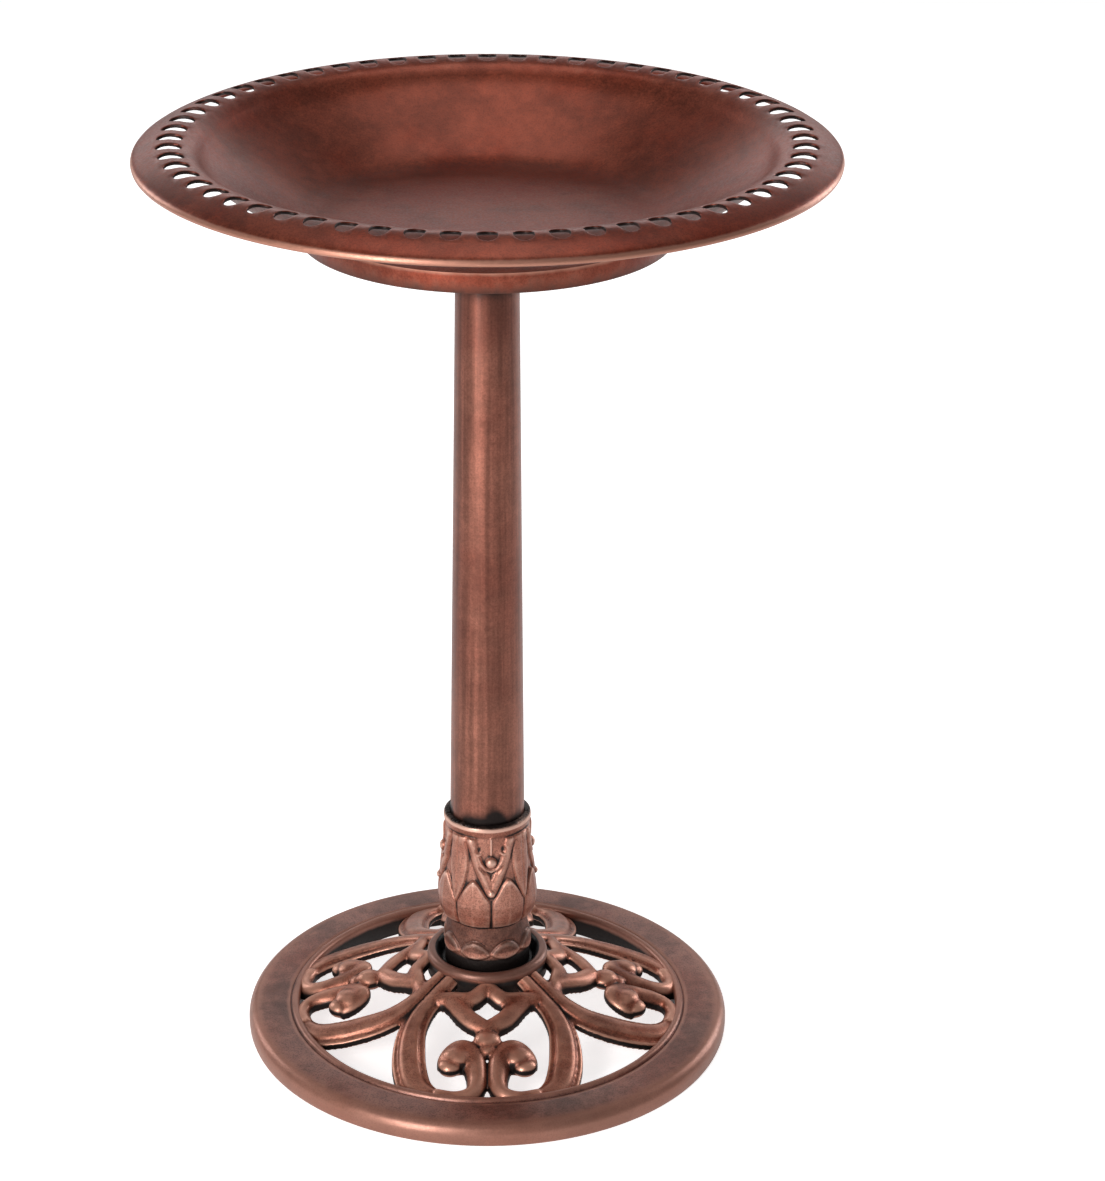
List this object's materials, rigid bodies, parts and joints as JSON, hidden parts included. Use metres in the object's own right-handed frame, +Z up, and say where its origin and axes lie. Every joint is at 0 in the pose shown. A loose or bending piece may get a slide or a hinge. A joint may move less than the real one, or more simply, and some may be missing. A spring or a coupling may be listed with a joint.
{
  "type": "pedestal bird bath",
  "caption": "Pedestal bird bath: a shallow slotted-rim bowl screws onto a tapered column with a leaf collar, standing on a scrolled openwork base.",
  "frame": {"origin": "centre of the face that the base stands on", "axes": "+Z up along the column; -Y is the front, with one scroll motif of the base facing it"},
  "size_m": [0.498, 0.498, 0.711],
  "materials": {
    "bowl_copper": "cast resin, semi-gloss antique copper paint with dark wash",
    "column_copper": "semi-gloss antique copper paint, brushed lengthwise",
    "collar_copper": "cast resin, antique copper with rubbed highlights and black recesses",
    "base_copper": "cast resin, antique copper with rubbed highlights and black recesses",
    "screw_plastic": "black moulded nylon",
    "washer_rubber": "matt black rubber",
    "zinc_steel": "bright zinc plate"
  },
  "bodies": {
    "stand": {"base": "base_copper", "hub_washer": "zinc_steel", "hub_bolt": "zinc_steel", "leaf_collar": "collar_copper", "column_tube": "column_copper", "lower_plug": "screw_plastic", "upper_plug": "screw_plastic"},
    "washer": {"seat_washer": "washer_rubber"},
    "bowl": {"bowl": "bowl_copper", "bowl_socket": "screw_plastic"}
  },
  "joints": [
    {"name": "bowl_rise", "type": "slide", "parent": "stand", "child": "washer", "axis": [0, 0, 1], "range_m": [0, 0.016]},
    {"name": "bowl_turn", "type": "hinge", "parent": "washer", "child": "bowl", "pos_m": [0, 0, 0.6305], "axis": [0, 0, 1], "range_deg": [0, 1440]}
  ],
  "couplings": [
    {"joint": "bowl_rise", "follows": "bowl_turn", "m_per_rad": 0.0006366}
  ]
}
